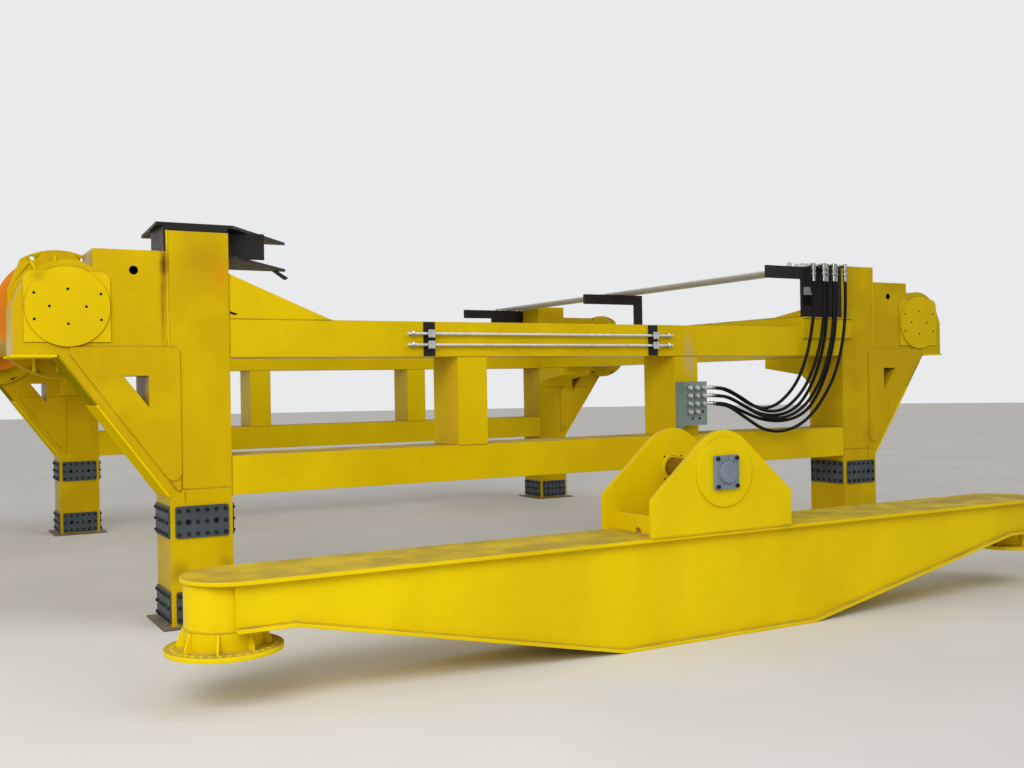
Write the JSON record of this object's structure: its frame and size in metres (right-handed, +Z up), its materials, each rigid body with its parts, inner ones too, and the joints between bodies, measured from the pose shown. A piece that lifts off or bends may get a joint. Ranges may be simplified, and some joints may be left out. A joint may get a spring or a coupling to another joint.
{
  "type": "straddle carrier upper frame with walking beam",
  "caption": "Yellow welded gantry frame on bolted legs with end drums, cross pipes and hoses, and one walking beam standing in front of it.",
  "frame": {"origin": "on the floor, under the middle of the box round the frame and the walking beam", "axes": "+X along the walls, the travel direction, to the side with the hoses; +Y from the walking beam to the rear wall; +Z up"},
  "size_m": [8.253, 8.009, 2.61],
  "materials": {
    "yellow_enamel": "gloss enamel over welded plate",
    "splice_steel": "matt dark grey primer",
    "black_paint": "satin black",
    "orange_paint": "satin orange",
    "pipe_steel": "drawn tube, dull",
    "zinc_plate": "bright zinc",
    "bulkhead_grey": "grey-green",
    "hose_rubber": "ribbed black cover",
    "raw_steel": "mill scale, dusty",
    "pin_steel": "bronzed, turned",
    "keeper_grey": "grey-blue primer"
  },
  "bodies": {
    "frame": {"upper_beam_front": "yellow_enamel", "upper_beam_rear": "yellow_enamel", "lower_beam_front": "yellow_enamel", "lower_beam_rear": "yellow_enamel", "posts_front": "yellow_enamel", "posts_rear": "yellow_enamel", "haunches": "yellow_enamel", "step_boxes": "yellow_enamel", "cross_beam_left": "yellow_enamel", "cross_beam_right": "yellow_enamel", "column_front_left": "yellow_enamel", "column_front_right": "yellow_enamel", "column_rear_left": "yellow_enamel", "column_rear_right": "yellow_enamel", "leg_front_left": "yellow_enamel", "leg_front_right": "yellow_enamel", "leg_rear_left": "yellow_enamel", "leg_rear_right": "yellow_enamel", "wing_front_left": "yellow_enamel", "wing_front_right": "yellow_enamel", "wing_rear_left": "yellow_enamel", "wing_rear_right": "yellow_enamel", "head_covers": "yellow_enamel", "back_plates": "yellow_enamel", "foot_plates": "raw_steel", "splice_plates": "splice_steel", "left_brackets": "black_paint", "right_brackets": "black_paint", "middle_bracket": "black_paint", "cross_pipes": "pipe_steel", "elbow_fittings": "zinc_plate", "front_pipes": "pipe_steel", "pipe_clamps": "black_paint", "bulkhead_plate": "bulkhead_grey", "bulkhead_fittings": "zinc_plate", "hose_1": "hose_rubber", "hose_2": "hose_rubber", "hose_3": "hose_rubber", "hose_4": "hose_rubber", "hose_5": "hose_rubber", "hose_6": "hose_rubber"},
    "drum_left": {"drum_core_left": "yellow_enamel", "drum_flanges_left": "orange_paint"},
    "drum_right": {"drum_core_right": "yellow_enamel", "drum_flanges_right": "yellow_enamel"},
    "walking_beam": {"walking_web": "yellow_enamel", "walking_top_plate": "yellow_enamel", "walking_bottom_plate": "yellow_enamel", "walking_end_tubes": "yellow_enamel", "slewing_flanges": "yellow_enamel", "walking_lugs": "yellow_enamel", "lug_discs": "yellow_enamel", "pivot_pin": "pin_steel", "keeper_plate": "keeper_grey"}
  },
  "joints": [
    {"name": "drum_left_turn", "type": "hinge", "parent": "frame", "child": "drum_left", "pos_m": [-3.785, 1.06, 2.053], "axis": [0, 1, 0], "continuous": true},
    {"name": "drum_right_turn", "type": "hinge", "parent": "frame", "child": "drum_right", "pos_m": [3.785, 1.06, 2.053], "axis": [0, 1, 0], "continuous": true},
    {"name": "walking_beam_lift", "type": "slide", "parent": "frame", "child": "walking_beam", "axis": [0, 0, 1], "range_m": [0, 0.6]}
  ]
}
